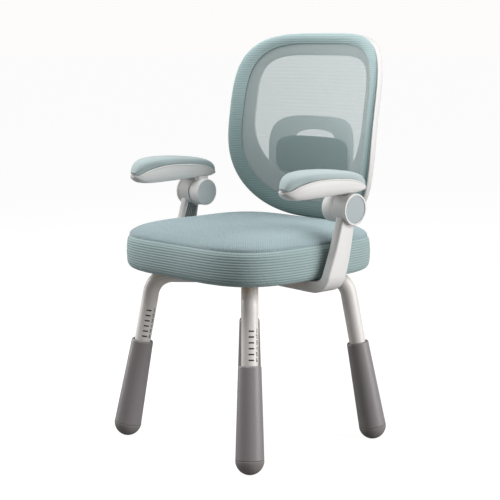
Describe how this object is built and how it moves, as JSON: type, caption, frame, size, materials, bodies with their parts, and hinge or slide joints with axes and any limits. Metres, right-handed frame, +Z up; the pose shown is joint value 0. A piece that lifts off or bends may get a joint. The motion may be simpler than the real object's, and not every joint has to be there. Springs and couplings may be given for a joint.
{
  "type": "children's study chair",
  "caption": "Height-adjustable child's desk chair with a padded rounded-square seat, curled mesh back, lumbar pad, swing-up armrests and splayed tube legs with sliding foot sleeves.",
  "frame": {"origin": "on the floor, under the middle of the chair's overall box", "axes": "+Z up, the sitter faces -Y, the sitter's left is +X"},
  "size_m": [0.452, 0.4076, 0.753],
  "materials": {
    "seat_fabric": "ribbed woven cover, matt",
    "back_fabric": "ribbed knitted edging, matt",
    "back_mesh_fabric": "open knitted mesh, partly see-through",
    "lumbar_fabric": "dark padded cloth, matt",
    "pad_fabric": "soft foamed skin, matt",
    "white_plastic": "satin moulded plastic",
    "white_steel": "warm white powder coat",
    "sleeve_grey": "grained, satin",
    "foot_rubber": "matt",
    "cap_blue_grey": "satin",
    "dark_plastic": "matt",
    "screws": "zinc plated",
    "plywood": "raw birch plywood"
  },
  "bodies": {
    "frame": {"seat_cushion": "seat_fabric", "seat_board": "plywood", "seat_plate": "white_steel", "plate_screw_1": "screws", "plate_screw_2": "screws", "plate_screw_3": "screws", "plate_screw_4": "screws", "leg_tube_front_left": "white_steel", "leg_plug_front_left": "dark_plastic", "leg_tube_front_right": "white_steel", "leg_plug_front_right": "dark_plastic", "leg_tube_rear_left": "white_steel", "leg_plug_rear_left": "dark_plastic", "leg_tube_rear_right": "white_steel", "leg_plug_rear_right": "dark_plastic", "arm_bracket_left": "white_plastic", "bracket_liner_left": "dark_plastic", "hub_cap_outer_left": "cap_blue_grey", "pivot_bolt_left": "screws", "bracket_screw_left_1": "screws", "bracket_screw_left_2": "screws", "arm_bracket_right": "white_plastic", "bracket_liner_right": "dark_plastic", "hub_cap_outer_right": "cap_blue_grey", "pivot_bolt_right": "screws", "bracket_screw_right_1": "screws", "bracket_screw_right_2": "screws", "back_rim": "back_fabric", "back_mesh": "back_mesh_fabric", "back_shell": "white_plastic", "back_bar": "white_steel", "back_screw_1": "screws", "back_screw_2": "screws", "back_screw_3": "screws", "back_screw_4": "screws", "bar_screw_1": "screws", "bar_screw_2": "screws"},
    "leg_sleeve_front_left": {"sleeve_front_left": "sleeve_grey", "sleeve_collar_front_left": "dark_plastic", "foot_front_left": "foot_rubber"},
    "leg_sleeve_front_right": {"sleeve_front_right": "sleeve_grey", "sleeve_collar_front_right": "dark_plastic", "foot_front_right": "foot_rubber"},
    "leg_sleeve_rear_left": {"sleeve_rear_left": "sleeve_grey", "sleeve_collar_rear_left": "dark_plastic", "foot_rear_left": "foot_rubber"},
    "leg_sleeve_rear_right": {"sleeve_rear_right": "sleeve_grey", "sleeve_collar_rear_right": "dark_plastic", "foot_rear_right": "foot_rubber"},
    "armrest_left": {"armrest_shell_left": "white_plastic", "hub_cap_inner_left": "cap_blue_grey", "arm_pad_left": "pad_fabric"},
    "armrest_right": {"armrest_shell_right": "white_plastic", "hub_cap_inner_right": "cap_blue_grey", "arm_pad_right": "pad_fabric"},
    "lumbar_support": {"lumbar_carrier": "white_plastic", "lumbar_pad": "lumbar_fabric"}
  },
  "joints": [
    {"name": "leg_height_front_left", "type": "slide", "parent": "frame", "child": "leg_sleeve_front_left", "axis": [-0.1329, 0.1262, 0.9831], "range_m": [0, 0.06]},
    {"name": "leg_height_front_right", "type": "slide", "parent": "frame", "child": "leg_sleeve_front_right", "axis": [0.1329, 0.1262, 0.9831], "range_m": [0, 0.06]},
    {"name": "leg_height_rear_left", "type": "slide", "parent": "frame", "child": "leg_sleeve_rear_left", "axis": [-0.1329, -0.1262, 0.9831], "range_m": [0, 0.06]},
    {"name": "leg_height_rear_right", "type": "slide", "parent": "frame", "child": "leg_sleeve_rear_right", "axis": [0.1329, -0.1262, 0.9831], "range_m": [0, 0.06]},
    {"name": "armrest_left_lift", "type": "hinge", "parent": "frame", "child": "armrest_left", "pos_m": [0.195, 0.0314, 0.4476], "axis": [-1, 0, 0], "range_deg": [0, 90]},
    {"name": "armrest_right_lift", "type": "hinge", "parent": "frame", "child": "armrest_right", "pos_m": [-0.195, 0.0314, 0.4476], "axis": [-1, 0, 0], "range_deg": [0, 90]},
    {"name": "lumbar_height", "type": "slide", "parent": "frame", "child": "lumbar_support", "axis": [0, 0.1, 0.995], "range_m": [0, 0.025]}
  ]
}
